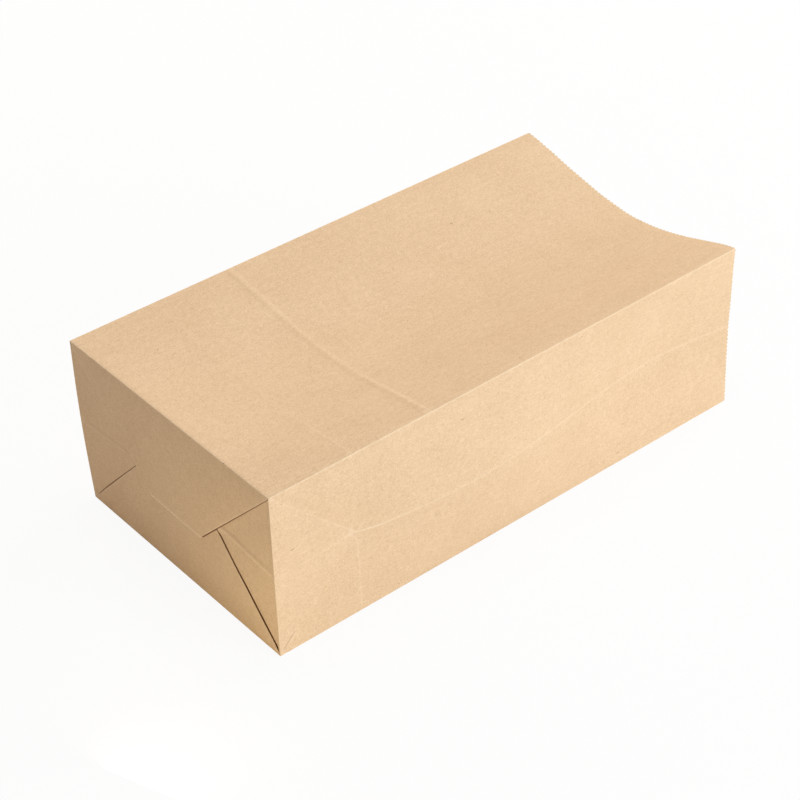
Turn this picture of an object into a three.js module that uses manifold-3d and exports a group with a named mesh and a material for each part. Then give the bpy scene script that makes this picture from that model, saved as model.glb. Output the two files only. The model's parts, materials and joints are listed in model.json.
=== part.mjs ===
import * as THREE from "three";
import { mergeVertices } from "three/addons/utils/BufferGeometryUtils.js";
import Module from "manifold-3d";

// A brown paper lunch bag, opened once and lying on its back panel. The block bottom faces -X and the
// mouth faces +X. One sheet is rolled into a tube, lapped and glued along the back panel, pleated at
// both sides and folded shut over one end, so the whole bag is a single solid.

// The sheet and its folds, in millimetres.
const bagLength = 246; // block bottom to the tips of the mouth's teeth
const bagWidth = 128; // wide panels, the one above and the one it lies on
const gussetWidth = 80; // side panels, with a crease along the middle
const paper = 0.12; // thickness of the sheet
const glueBite = 0.02; // how far a glued ply is pressed into the one below it
const flapDepth = 51; // paper folded over the block bottom from every side
const flapSkew = 2.2; // how much shorter the outer flap is at its far corner
const hemSlope = 0.96; // width that a long flap loses at each end for each step of its depth
const openSlope = 0.905; // the same at the lower flap's near end, where the glue has let go a little
const flapLift = 1; // room under the sprung edges of the two long flaps
const liftRun = 8; // distance from a fold over which that room opens
const lapWidth = 16; // glued seam along the back panel
const lapPlace = 22; // middle of the seam, from the middle of the back panel
const toothPitch = 2; // saw-tooth edge left by the knife, at the mouth and on every flap
const toothDepth = 0.6;

// How the opened bag has settled.
const topSag = 12.6; // hang of the upper panel across the mouth
const sagRun = 100; // length over which the hang builds up
const sagAside = 0.05; // the deepest line lies a little towards the near side
const crookOut = 5.4; // side crease standing out, in the half by the block bottom
const crookIn = 4.6; // side crease drawn in, in the half by the mouth
const crookTurn = 0.56; // where along the crease it passes from out to in
const apexDip = 1.3; // side triangle pressed in at its apex
const dipRun = 6; // length over which the crease comes back out of that dip
const mouthDraw = 1; // side panels drawn in at the mouth
const ridgeHeight = 0.6; // line pressed into the upper panel by the folded bottom
const ridgeHalf = 3; // half of that line's width
const ridgeShort = 3.2; // how far it falls short of one gusset width from the bottom
const creaseHeight = 0.4; // relief of the cross crease, where the flat bag was folded back
const farLean = 2.2; // far upper edge leaning out at the block bottom
const leanEnd = 0.82; // share of the length at which that edge is upright again
const edgeSink = 0.3; // near upper edge sunk all along
const cornerSink = 1; // and more at its corner by the block bottom
const splay = 1.2; // near lower edge standing out at the mouth

// Facets.
const foldSteps = 6; // from the block bottom to the apex of the side triangles
const widthSteps = 16; // across the upper panel
const backSteps = 6; // across the back panel
const bodySteps = 11; // from the pressed line to the mouth
const collar = 5; // last plain band behind the teeth

const halfWidth = bagWidth / 2;
const halfGusset = gussetWidth / 2;
const foldStep = halfGusset / foldSteps;
const plyPitch = paper - glueBite;
const ridgeAt = gussetWidth - ridgeShort;

const wasm = await Module();
wasm.setup();

// A peak of height 1 at `middle` that falls to nothing `reach` away.
function peak(value, middle, reach) {
  return Math.max(0, 1 - Math.abs(value - middle) / reach);
}

// Hang of the upper panel: nothing at the block bottom, most in the middle of the mouth.
function hang(x, y) {
  const along = (1 - Math.exp(-x / sagRun)) / (1 - Math.exp(-bagLength / sagRun));
  const aside = y / halfWidth;
  const fromDeepest = Math.min(1, Math.abs(aside + sagAside * (1 - aside ** 2)));
  const across = Math.cos((Math.PI / 2) * fromDeepest) ** 1.3;
  return topSag * along * across;
}

function topHeight(x, y) {
  const inset = 1 - (Math.abs(y) / halfWidth) ** 8;
  return gussetWidth - hang(x, y) + ridgeHeight * inset * peak(x, ridgeAt, ridgeHalf);
}

function backHeight(x, y) {
  const inset = 1 - (Math.abs(y) / halfWidth) ** 8;
  return creaseHeight * inset * peak(x, halfGusset, foldStep);
}

// How far the middle crease of a side panel stands in from the plane of the panel's two edges.
function crook(x) {
  const along = Math.max(0, (x - halfGusset) / (bagLength - halfGusset));
  const wave =
    along < crookTurn
      ? -crookOut * Math.sin((Math.PI * along) / crookTurn)
      : crookIn * Math.sin((Math.PI * (along - crookTurn)) / (1 - crookTurn));
  const dip = apexDip * Math.exp(-Math.max(0, x - halfGusset) / dipRun);
  return wave + dip + mouthDraw * along ** 2;
}

// The side panel is flat on both sides of its middle crease, and beside the block bottom it has a
// triangle whose two creases run at 45 degrees from the corners to the apex.
function gussetInset(x, z) {
  const fromEdge = Math.min(z, gussetWidth - z);
  const inset = (crook(x) * Math.min(fromEdge, x)) / halfGusset;
  const onLowerHalf = z < halfGusset ? Math.sin((Math.PI * z) / halfGusset) : 0;
  return inset - creaseHeight * onLowerHalf * peak(x, halfGusset, foldStep);
}

// The four panels in turn, each as a point on the outside of the bag for a place along it and a share
// of the way across, going anticlockwise as seen from the mouth.
const panels = [
  {
    steps: backSteps,
    teeth: Math.round(bagWidth / toothPitch),
    at: (x, share) => {
      const y = (share - 0.5) * bagWidth;
      return new THREE.Vector3(x, y, backHeight(x, y));
    },
  },
  {
    steps: 2 * foldSteps,
    teeth: Math.round(gussetWidth / toothPitch),
    at: (x, share) => {
      const z = share * gussetWidth;
      return new THREE.Vector3(x, halfWidth - gussetInset(x, z), z);
    },
  },
  {
    steps: widthSteps,
    teeth: Math.round(bagWidth / toothPitch),
    at: (x, share) => {
      const y = (0.5 - share) * bagWidth;
      return new THREE.Vector3(x, y, topHeight(x, y));
    },
  },
  {
    steps: 2 * foldSteps,
    teeth: Math.round(gussetWidth / toothPitch),
    at: (x, share) => {
      const z = (1 - share) * gussetWidth;
      return new THREE.Vector3(x, gussetInset(x, z) - halfWidth, z);
    },
  },
];

// One closed ring round the bag. `count` gives the steps across a panel and `along` the place of each
// point along the bag. `turn` is 0 to 4 round the bag, with a whole number at each corner.
function ring(count, along) {
  return panels.flatMap((panel, index) => {
    const steps = count(panel);
    return Array.from({ length: steps }, (_, k) => ({
      turn: index + k / steps,
      point: panel.at(along(k), k / steps),
    }));
  });
}

// The same ring one sheet further in, square to the sheet.
function inside(list) {
  const total = list.length;
  return list.map(({ turn, point }, k) => {
    const before = point.clone().sub(list[(k + total - 1) % total].point);
    const after = list[(k + 1) % total].point.clone().sub(point);
    const first = new THREE.Vector2(-before.z, before.y).normalize();
    const second = new THREE.Vector2(-after.z, after.y).normalize();
    const push = first.clone().add(second);
    push.multiplyScalar(paper / (1 + first.dot(second)));
    return { turn, point: new THREE.Vector3(point.x, point.y + push.x, point.z + push.y) };
  });
}

// Evenly spaced places after `from`, up to and with `to`.
function stepsTo(from, to, count) {
  return Array.from({ length: count }, (_, i) => from + ((to - from) * (i + 1)) / count);
}

function makeSolid(points, triangles) {
  const shape = new THREE.BufferGeometry();
  shape.setAttribute("position", new THREE.Float32BufferAttribute(points.flatMap((p) => p.toArray()), 3));
  shape.setIndex(triangles.flat());
  return solidFrom(shape);
}

function solidFrom(geometry) {
  const bare = geometry.clone();
  bare.deleteAttribute("normal");
  bare.deleteAttribute("uv");
  const merged = mergeVertices(bare, 1e-4);
  return new wasm.Manifold(
    new wasm.Mesh({
      numProp: 3,
      vertProperties: new Float32Array(merged.attributes.position.array),
      triVerts: new Uint32Array(merged.index.array),
    }),
  );
}

// The tube: an outer and an inner skin from the block bottom to the saw-tooth mouth.
function makeTube() {
  const places = [
    0,
    ...stepsTo(0, halfGusset + foldStep, foldSteps + 1),
    ...stepsTo(halfGusset + foldStep, ridgeAt - ridgeHalf, foldSteps / 2),
    ridgeAt,
    ridgeAt + ridgeHalf,
    ...stepsTo(ridgeAt + ridgeHalf, bagLength - collar, bodySteps),
  ];
  const rings = places.map((x) => ring((panel) => panel.steps, () => x));
  const rim = ring(
    (panel) => 2 * panel.teeth,
    (k) => bagLength - (k % 2 === 0 ? toothDepth : 0),
  );

  const points = [];
  const triangles = [];
  function addRing(list) {
    const start = points.length;
    points.push(...list.map(({ point }) => point));
    return list.map((_, k) => start + k);
  }
  // Outer faces turn one way and inner faces the other.
  function face(a, b, c, outward) {
    triangles.push(outward ? [a, b, c] : [a, c, b]);
  }
  function band(near, far, list, outward) {
    const total = near.length;
    for (let k = 0; k < total; k += 1) {
      const next = (k + 1) % total;
      const { turn } = list[k];
      const isGusset = Math.floor(turn) % 2 === 1;
      if (!isGusset || turn % 1 < 0.5) {
        face(near[k], near[next], far[next], outward);
        face(near[k], far[next], far[k], outward);
      } else {
        face(near[k], near[next], far[k], outward);
        face(near[next], far[next], far[k], outward);
      }
    }
  }
  // Joins the last plain ring to the many points of the toothed rim.
  function zip(coarse, coarseList, fine, fineList, outward) {
    const turnOf = (list, k) => (k < list.length ? list[k].turn : panels.length);
    let i = 0;
    let k = 0;
    while (i < coarse.length || k < fine.length) {
      const coarseNext = i < coarse.length ? turnOf(coarseList, i + 1) : Infinity;
      const fineNext = k < fine.length ? turnOf(fineList, k + 1) : Infinity;
      const a = coarse[i % coarse.length];
      const b = fine[k % fine.length];
      if (fineNext <= coarseNext) {
        k += 1;
        face(a, fine[k % fine.length], b, outward);
      } else {
        i += 1;
        face(a, coarse[i % coarse.length], b, outward);
      }
    }
  }
  function cap(outer, inner, atMouth) {
    for (let k = 0; k < outer.length; k += 1) {
      const next = (k + 1) % outer.length;
      face(outer[k], inner[k], inner[next], !atMouth);
      face(outer[k], inner[next], outer[next], !atMouth);
    }
  }

  const skins = [true, false].map((outward) => {
    const rows = rings.map((list) => addRing(outward ? list : inside(list)));
    for (let i = 0; i + 1 < rows.length; i += 1) {
      band(rows[i], rows[i + 1], rings[i], outward);
    }
    const edge = addRing(outward ? rim : inside(rim));
    zip(rows.at(-1), rings.at(-1), edge, rim, outward);
    return { start: rows[0], edge };
  });
  cap(skins[0].start, skins[1].start, false);
  cap(skins[0].edge, skins[1].edge, true);
  return makeSolid(points, triangles);
}

// A ply given by a grid of points on one face and the same grid one sheet behind it.
function makePly(rows, behind) {
  const high = rows.length;
  const wide = rows[0].length;
  const points = [...rows.flat(), ...rows.flat().map((p) => p.clone().add(behind))];
  const front = (i, k) => i * wide + k;
  const back = (i, k) => high * wide + front(i, k);
  const triangles = [];
  const quad = (a, b, c, d) => triangles.push([a, b, c], [a, c, d]);
  for (let i = 0; i + 1 < high; i += 1) {
    for (let k = 0; k + 1 < wide; k += 1) {
      quad(front(i, k), front(i, k + 1), front(i + 1, k + 1), front(i + 1, k));
      quad(back(i, k), back(i + 1, k), back(i + 1, k + 1), back(i, k + 1));
    }
    quad(front(i, 0), front(i + 1, 0), back(i + 1, 0), back(i, 0));
    quad(front(i + 1, wide - 1), front(i, wide - 1), back(i, wide - 1), back(i + 1, wide - 1));
  }
  for (let k = 0; k + 1 < wide; k += 1) {
    quad(front(0, k + 1), front(0, k), back(0, k), back(0, k + 1));
    quad(front(high - 1, k), front(high - 1, k + 1), back(high - 1, k + 1), back(high - 1, k));
  }
  const ply = makeSolid(points, triangles);
  return ply.volume() > 0 ? ply : makeSolid(points, triangles.map(([a, b, c]) => [a, c, b]));
}

// Glued lap of the tube's seam, on the inside of the back panel.
function makeLap() {
  const places = [
    paper,
    halfGusset - foldStep,
    halfGusset,
    halfGusset + foldStep,
    bagLength - toothDepth,
  ];
  const rows = places.map((x) =>
    [-0.5, 0.5].map((side) => {
      const y = lapPlace + side * lapWidth;
      return new THREE.Vector3(x, y, backHeight(x, y) + plyPitch);
    }),
  );
  return makePly(rows, new THREE.Vector3(0, 0, paper));
}

// A gusset's own flap, folded in first. It lies back a little from the long flaps that cover it.
function makeGussetFlap(side) {
  const across = [0, liftRun, halfGusset, flapDepth];
  const up = [0, ...stepsTo(0, gussetWidth, 2 * Math.round(gussetWidth / toothPitch))];
  const rows = across.map((reach) =>
    up.map((z, k) => {
      const fromFold = Math.min(reach, z, gussetWidth - z);
      const x = flapLift * Math.min(1, fromFold / liftRun);
      const tooth = reach === flapDepth && k % 2 === 1 ? toothDepth : 0;
      return new THREE.Vector3(x, side * (halfWidth - reach - tooth), z);
    }),
  );
  return makePly(rows, new THREE.Vector3(paper, 0, 0));
}

// A flat ply on the block bottom, from its outline in Y and Z. Level 0 is the gusset flaps' own.
const facesMouth = new THREE.Matrix4().makeBasis(
  new THREE.Vector3(0, 1, 0),
  new THREE.Vector3(0, 0, 1),
  new THREE.Vector3(1, 0, 0),
);
function makeFlatPly(outline, level, thickness) {
  const shape = new THREE.Shape(outline.map(([y, z]) => new THREE.Vector2(y, z)));
  const ply = new THREE.ExtrudeGeometry(shape, { depth: thickness, bevelEnabled: false });
  ply.applyMatrix4(facesMouth);
  ply.translate(-level * plyPitch, 0, 0);
  return solidFrom(ply);
}

// A cut edge from one point to another, with the knife's teeth standing out in Z.
function sawEdge(from, to, out) {
  const steps = 2 * Math.round(Math.hypot(to[0] - from[0], to[1] - from[1]) / toothPitch);
  return Array.from({ length: steps + 1 }, (_, k) => [
    from[0] + ((to[0] - from[0]) * k) / steps,
    from[1] + ((to[1] - from[1]) * k) / steps + (k % 2 === 1 ? out * toothDepth : 0),
  ]);
}

// A long flap from a wide panel: a strip that turns the fold, the two corner triangles tucked under it,
// and the flap itself. `up` is 1 for the flap that rises from the back panel and -1 for the outer one
// that comes down from the upper panel. Each end of the flap has its own depth and slope.
function makeLongFlap(up, level, nearEnd, farEnd) {
  const foldZ = up > 0 ? 0 : gussetWidth;
  const z = (depth) => foldZ + up * depth;
  const strip = [
    [-halfWidth, z(0)],
    [halfWidth, z(0)],
    [halfWidth, z(paper)],
    [-halfWidth, z(paper)],
  ];
  const corner = (side, { depth, slope }) => [side * (halfWidth - slope * depth), z(depth)];
  const flap = [
    [-halfWidth, z(0)],
    [halfWidth, z(0)],
    ...sawEdge(corner(1, farEnd), corner(-1, nearEnd), up),
  ];
  const tucks = [
    { side: -1, end: nearEnd },
    { side: 1, end: farEnd },
  ].map(({ side, end }) => [
    [side * halfWidth, z(0)],
    [side * (halfWidth - end.depth), z(0)],
    corner(side, end),
  ]);
  return [
    makeFlatPly(strip, level, level * plyPitch + paper),
    makeFlatPly(flap, level, paper),
    ...tucks.map((tuck) => makeFlatPly(tuck, level - 1, paper)),
  ];
}

// Nobody opens a bag quite square. All plies lean together, so those that touch go on touching, and
// nothing moves along X, so the block bottom stays flat.
function lean(place) {
  const [x, y, z] = place;
  const far = y / bagWidth + 0.5;
  const up = z / gussetWidth;
  const along = x / bagLength;
  place[1] += farLean * far * up * (1 - along / leanEnd) - splay * along * (1 - up) * (1 - far);
  place[2] -= (edgeSink + cornerSink * (1 - along)) * up * (1 - far);
}

function makeBag() {
  const plies = [
    makeTube(),
    makeLap(),
    makeGussetFlap(-1),
    makeGussetFlap(1),
    ...makeLongFlap(
      1,
      2,
      { depth: flapDepth, slope: openSlope },
      { depth: flapDepth, slope: hemSlope },
    ),
    ...makeLongFlap(
      -1,
      4,
      { depth: flapDepth, slope: hemSlope },
      { depth: flapDepth - flapSkew, slope: hemSlope },
    ),
  ];
  return plies.reduce((whole, ply) => whole.add(ply)).warp(lean);
}

function geometryOf(solid) {
  const mesh = solid.getMesh();
  const places = [];
  for (let i = 0; i < mesh.numVert; i += 1) {
    places.push(...mesh.vertProperties.subarray(i * mesh.numProp, i * mesh.numProp + 3));
  }
  const geometry = new THREE.BufferGeometry();
  geometry.setAttribute("position", new THREE.Float32BufferAttribute(places, 3));
  geometry.setIndex([...mesh.triVerts]);
  geometry.computeVertexNormals();
  return geometry;
}

const kraft = new THREE.MeshStandardMaterial({ color: 0xe5c59f, roughness: 0.9, metalness: 0 });
const paperBag = new THREE.Mesh(geometryOf(makeBag()), kraft);
paperBag.name = "paper_bag";

// The origin is on the floor, under the middle of the bag's box.
paperBag.geometry.computeBoundingBox();
const middle = paperBag.geometry.boundingBox.getCenter(new THREE.Vector3());
paperBag.position.set(-middle.x, -middle.y, -paperBag.geometry.boundingBox.min.z);

const bag = new THREE.Group();
bag.add(paperBag);

export default bag;
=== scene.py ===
# %% [markdown]
# # A brown paper lunch bag
#
# The bag is one sheet of kraft paper: rolled into a tube, pleated at both sides, folded shut over one
# end and cut with a saw-tooth knife at the other. Here it lies on its back panel, opened once.
#
# The CAD model gives the true size and the folds. In Blender the same sheet is drawn again with far
# more points, so that the folds get a soft bend, the panels get the small waves of real paper, and the
# paper itself can be seen: its pulp, its fibres and its worn edges.

import json
import math

import bpy
from mathutils import Matrix, Vector, noise

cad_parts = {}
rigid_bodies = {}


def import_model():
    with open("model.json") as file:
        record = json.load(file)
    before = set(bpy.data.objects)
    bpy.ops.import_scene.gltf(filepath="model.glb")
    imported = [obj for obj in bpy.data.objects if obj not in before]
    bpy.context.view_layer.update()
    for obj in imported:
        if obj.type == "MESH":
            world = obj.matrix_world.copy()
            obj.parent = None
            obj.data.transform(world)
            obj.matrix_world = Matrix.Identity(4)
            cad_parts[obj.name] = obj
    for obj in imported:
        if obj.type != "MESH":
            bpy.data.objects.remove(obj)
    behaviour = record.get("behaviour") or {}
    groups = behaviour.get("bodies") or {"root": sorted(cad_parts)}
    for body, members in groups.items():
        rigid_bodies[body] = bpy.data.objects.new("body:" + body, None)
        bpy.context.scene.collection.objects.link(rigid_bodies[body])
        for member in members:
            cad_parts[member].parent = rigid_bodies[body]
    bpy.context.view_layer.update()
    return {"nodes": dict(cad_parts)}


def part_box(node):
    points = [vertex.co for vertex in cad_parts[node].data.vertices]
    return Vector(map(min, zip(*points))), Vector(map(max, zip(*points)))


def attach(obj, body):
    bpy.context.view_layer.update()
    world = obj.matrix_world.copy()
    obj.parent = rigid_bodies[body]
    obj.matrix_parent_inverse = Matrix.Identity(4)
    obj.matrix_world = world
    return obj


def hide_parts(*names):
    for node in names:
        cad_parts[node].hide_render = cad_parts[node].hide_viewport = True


for leftover in list(bpy.data.objects):
    bpy.data.objects.remove(leftover)

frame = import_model()
print("CAD nodes:", sorted(frame["nodes"]))

# %% [markdown]
# ## The bag's own sizes
#
# The sizes are measured on the CAD bag and not typed in again, so that the two can't drift apart. A
# paper maker thinks in millimetres, so all shapes below are worked out in millimetres: x is counted
# from the block bottom, y across the bag from its middle, and z up from the floor. They are turned into
# metres when a mesh is made.

# %% Measure the bag
MM = 0.001
PROUD = 0.4  # how far the folded plies stand out from the block bottom

low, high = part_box("paper_bag")
on_floor = [v.co for v in frame["nodes"]["paper_bag"].data.vertices if v.co.z < 0.01 * MM]
lower_fold = [v.y for v in on_floor if v.x < low.x + 1 * MM]
GUSSET = (high.z - low.z) / MM
WIDTH = (max(lower_fold) - min(lower_fold)) / MM
MIDDLE = (max(lower_fold) + min(lower_fold)) / 2
LENGTH = (high.x - low.x) / MM - PROUD
HALF_GUSSET = GUSSET / 2
HALF_WIDTH = WIDTH / 2
print(f"length {LENGTH:.1f}, width {WIDTH:.1f}, gusset {GUSSET:.1f} mm")

# %% [markdown]
# ## A bag out of square
#
# Nobody opens a paper bag quite square. This one leans: its far upper edge stands out at the block
# bottom, its near upper corner has sunk a little, and its near lower edge splays at the mouth. The lean
# is kept apart from the panels, as one small shift that every point of every ply goes through, so plies
# that touch go on touching. The CAD bag leans in nearly the same way. A Lattice modifier could do this
# too, but a formula is easier to measure.

# %% The lean
TIP_BACK = 0.2  # upper fold of the block bottom, away from the mouth
FAR_REACH = 0.6  # its far corner, further still
TIP_RUN = 60  # length in which both die away
FAR_LEAN = 2.2  # far upper edge, outwards at the block bottom
LEAN_TURN = 0.82  # share of the length where the far edge passes from out to in
SPLAY = 1.2  # near lower edge, outwards at the mouth
EDGE_SINK = 0.45  # near upper edge, downwards all along
NEAR_SINK = 0.6  # its corner at the block bottom, further still


def settle(x, y, z):
    """Where a place on a square bag lies once the bag leans."""
    far = y / WIDTH + 0.5
    up = z / GUSSET
    along = x / LENGTH
    fade = math.exp(-max(0, x) / TIP_RUN)
    lean = FAR_LEAN * far * up * (1 - along / LEAN_TURN)
    splay = SPLAY * along * (1 - up) * (1 - far)
    moved_x = x - (TIP_BACK + FAR_REACH * far) * up * fade
    moved_y = y + lean - splay
    moved_z = z - (EDGE_SINK + NEAR_SINK * (1 - along)) * up * (1 - far)
    return moved_x, moved_y, moved_z


def in_row(x, y, z):
    """A place on the square bag, in millimetres, as a point of the leaning bag in the scene."""
    x, y, z = settle(x, y, z)
    return Vector((low.x + (x + PROUD) * MM, MIDDLE + y * MM, low.z + z * MM))


print("far upper corner:", [round(v, 1) for v in settle(0, HALF_WIDTH, GUSSET)])

# %% [markdown]
# ## How the panels have settled
#
# An opened bag is never a box. The upper panel hangs between its two edges, most at the open mouth.
# The block bottom was folded flat against the upper panel in the packet, and that left a line across
# it. Each could be pushed in by hand with sculpt tools, but then the bag would change with every try.
# A short function for each form can be read, measured and tuned.

# %% Helpers for soft forms
def ease(t):
    """0 up to t = 0, 1 from t = 1, and a soft slope between them."""
    t = min(1.0, max(0.0, t))
    return t * t * (3 - 2 * t)


def bump_line(distance, half):
    """A rounded ridge of height 1."""
    return ease(1 - abs(distance) / half)


def waves(x, y, z, size, seed):
    """Gentle waves in the paper, from about -1 to 1."""
    return noise.noise(Vector((x / size + seed, y / size - seed, z / size)))


print("a ridge 2 mm wide, from its edge to its top:", [round(bump_line(d, 1), 2) for d in (1, 0.5, 0)])

# %% The upper panel
SAG = 12.6  # hang of the upper panel in the middle of the mouth
SAG_RUN = 100  # most of the hang is reached in this length
SAG_ASIDE = 0.05  # the deepest line lies a little towards the near side
SAG_ROUND = 1.3  # above 1, the panel is flatter beside its two edges
EDGE_RUN = 12  # width beside an edge where the panel is still held flat
RIDGE_AT = GUSSET - 3.2  # line left by the folded bottom
RIDGE_HEIGHT = 0.23
RIDGE_HALF = 2.6
FAINT_HEIGHT = 0.1  # a fainter line, over the tips of the side triangles
FAINT_HALF = 2.5
WAVE_HEIGHT = 0.22  # long waves all over the panel
WAVE_SIZE = 34
RIPPLE_HEIGHT = 0.4  # shorter ones at the mouth
RIPPLE_SIZE = 13
RIPPLE_RUN = 30


def upper_height(x, y):
    """Height of the upper panel above the floor."""
    along = (1 - math.exp(-x / SAG_RUN)) / (1 - math.exp(-LENGTH / SAG_RUN))
    aside = y / HALF_WIDTH
    aside += SAG_ASIDE * (1 - aside**2)
    across = math.cos(math.pi / 2 * min(1, abs(aside))) ** SAG_ROUND
    from_edge = HALF_WIDTH - abs(y)
    inner = ease(from_edge / EDGE_RUN)
    ridge = RIDGE_HEIGHT * bump_line(x - RIDGE_AT, RIDGE_HALF) * ease(from_edge / 4)
    faint = FAINT_HEIGHT * bump_line(x - HALF_GUSSET + 1, FAINT_HALF) * inner
    soft = WAVE_HEIGHT * waves(x, y, 0, WAVE_SIZE, 3.1) * inner * ease(x / 12)
    at_mouth = ease((x - LENGTH + RIPPLE_RUN) / RIPPLE_RUN)
    soft += RIPPLE_HEIGHT * waves(x / 3, y, 0, RIPPLE_SIZE, 9.4) * inner * at_mouth
    return GUSSET - SAG * along * across + ridge + faint + soft


print("hang at the mouth:", round(GUSSET - upper_height(LENGTH, 0), 1), "mm")

# %% [markdown]
# The back panel lies on the floor, so it keeps its plane. Its one form is the cross crease from the
# packet, a low ridge with straight sides, because paper that was folded once doesn't lie down again.

# %% The back panel
CREASE_HEIGHT = 0.4
CREASE_HALF = 6


def back_height(x, y):
    """Height of the back panel, which lies flat on the floor apart from its crease."""
    inner = ease((HALF_WIDTH - abs(y)) / 6)
    return CREASE_HEIGHT * inner * max(0, 1 - abs(x - HALF_GUSSET) / CREASE_HALF)


print("crease of the back panel:", back_height(HALF_GUSSET, 0), "mm high")

# %% [markdown]
# ## The side panels
#
# Each side panel has a crease along its middle, because the bag was folded flat there. Opened, the
# crease stands out in the half by the block bottom and is drawn in towards the mouth. Beside the block
# bottom two more creases run at 45 degrees from the corners and meet the middle crease. The triangle
# between them is pressed in at its tip, and pulls the paper around it in a little way too.

# %% The way of the middle crease
CROOK_OUT = 5.4  # how far it stands out in the half by the block bottom
CROOK_IN = 4.6  # how far it is drawn in towards the mouth
CROOK_TURN = 0.56  # share of the length where it passes from out to in
MOUTH_DRAW = 1.0  # what it is drawn in at the mouth itself
APEX_DIP = 1.7  # how deep the triangle's tip is pressed in
DIP_RUN = 6  # how far the dip pulls the paper beside it


def crease_inset(x):
    """How far the middle crease stands in from the plane of the panel's two edges."""
    along = max(0, (x - HALF_GUSSET) / (LENGTH - HALF_GUSSET))
    if along < CROOK_TURN:
        wave = -CROOK_OUT * math.sin(math.pi * along / CROOK_TURN)
    else:
        wave = CROOK_IN * math.sin(math.pi * (along - CROOK_TURN) / (1 - CROOK_TURN))
    return wave + MOUTH_DRAW * along**2


def dip(x, edge):
    """The pressed-in side triangle, and the paper beside it. `edge` is the distance from a long edge."""
    if edge >= x:
        return APEX_DIP * x / HALF_GUSSET
    t = min(1, (x + edge) / (2 * HALF_GUSSET))
    aside = math.hypot(x - t * HALF_GUSSET, edge - t * HALF_GUSSET)
    return APEX_DIP * t * math.exp(-aside / DIP_RUN)


print(f"tip of the side triangle: {dip(HALF_GUSSET, HALF_GUSSET):.1f} mm deep")

# %% [markdown]
# The rest of a side panel is finer. The creases are raised or pressed lines, the paper between them has
# long waves, and on the far side the edge at the block bottom is bowed out. All of it is added to the
# way of the middle crease, as a distance from the plane of the panel's two edges.

# %% The side panels' form
FAR_BULGE = 1.5  # how far the far edge at the block bottom is bowed out
BULGE_RUN = 30
MIDDLE_HEIGHT = 0.13  # the middle crease itself, a fine raised line
MIDDLE_HALF = 0.9
CROSS_HEIGHT = 0.12  # a raised line across the lower half, level with the triangle's tip
CROSS_HALF = 1.2
CORNER_DEPTH = 0.5  # the 45 degree crease is pressed in where it leaves the lower corner
CORNER_HALF = 2.8
CORNER_RUN = 15
SIDE_WAVE_HEIGHT = 0.16
SIDE_WAVE_SIZE = 30


def side_inset(x, z, far):
    """How far a side panel stands in from the plane of its two edges."""
    edge = min(z, GUSSET - z)
    middle = bump_line(z - HALF_GUSSET, MIDDLE_HALF) * (0.4 + 0.6 * ease((x - HALF_GUSSET + 6) / 6))
    cross = bump_line(x - HALF_GUSSET, CROSS_HALF) * (z < HALF_GUSSET) * ease(edge / 5)
    corner = max(0, 1 - abs(x - z) / CORNER_HALF) * ease(x / 2) * ease((CORNER_RUN - x) / 8)
    lines = MIDDLE_HEIGHT * middle + CROSS_HEIGHT * cross - CORNER_DEPTH * corner
    other_waves = 40 if far else -40
    soft = SIDE_WAVE_HEIGHT * waves(x, other_waves, z, SIDE_WAVE_SIZE, 7.7)
    soft = soft * ease(edge / 10) * ease(x / 10)
    bow = FAR_BULGE * math.sin(math.pi * z / GUSSET) * math.exp(-x / BULGE_RUN) if far else 0
    return crease_inset(x) * edge / HALF_GUSSET + dip(x, edge) - lines - soft - bow


for x in (20, HALF_GUSSET, 110, 210, LENGTH):
    print(f"crease at x {x:5.1f}: {side_inset(x, HALF_GUSSET, False):5.2f} mm in")

# %% [markdown]
# ## One sheet with many points
#
# The sheet is made as rings of points round the bag, one ring behind the other. Points 2 mm apart give
# the 45 degree creases a row of points to lie on, and they give the mouth one tooth for each step. The
# long edges are little arcs, as paper never folds to a knife edge. A cube with bevels would be quicker,
# but it couldn't carry the creases.

# %% Places of the points
PITCH = 2.0
CLEAR = 0.5  # no two places are closer than this, apart from the fine ones beside a crease
ROUND = 0.25  # radius of a long fold
END_ROUND = 0.3  # radius of the fold round the block bottom
TOOTH = 0.6  # height of the saw teeth at the mouth
BESIDE_CREASE = (-0.8, -0.4, 0, 0.4, 0.8)
BESIDE_RIDGE = (-3.2, -2.4, -1.6, -0.8, 0, 0.8, 1.6, 2.4, 3.2)


def spaced(end, middle_lines=(), first=ROUND):
    """Places across a panel or along the bag, with finer steps beside the given lines."""
    fine = [m + d for m in middle_lines for d in BESIDE_CREASE]
    count = round(end / PITCH)
    plain = [end * k / count for k in range(1, count)]
    plain = [p for p in plain if all(abs(p - f) > CLEAR for f in fine)]
    return [first] + sorted(plain + fine) + [end - first]


wide_places = spaced(WIDTH)
side_places = spaced(GUSSET, [HALF_GUSSET])
ridge_rows = [RIDGE_AT + d for d in BESIDE_RIDGE]
rows_along = [x for x in spaced(LENGTH, [HALF_GUSSET], first=END_ROUND) if x < LENGTH - TOOTH - CLEAR]
rows_along = [x for x in rows_along if all(abs(x - r) > CLEAR for r in ridge_rows)]
rows_along = sorted(rows_along + ridge_rows)
rows_along.append(LENGTH - TOOTH)
print(f"{len(rows_along)} rings, {len(wide_places)} places on a wide panel, {len(side_places)} on a side")

# %% [markdown]
# Fibres break along a fold and show pale there. Each point keeps how close it is to a fold, as an
# attribute named `fold`, and the material reads it later. Painting the lines by hand would need an
# unwrapped sheet and a picture. An attribute needs neither, and stays with its point.
#
# Each panel is one function. From a place along the bag and a place across the panel it gives the point
# and its closeness to a fold.

# %% The wide panels
FOLD_REACH = 2.0
FOLD_POWER = 5  # the material raises `fold` to this power, for a thin line


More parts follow.
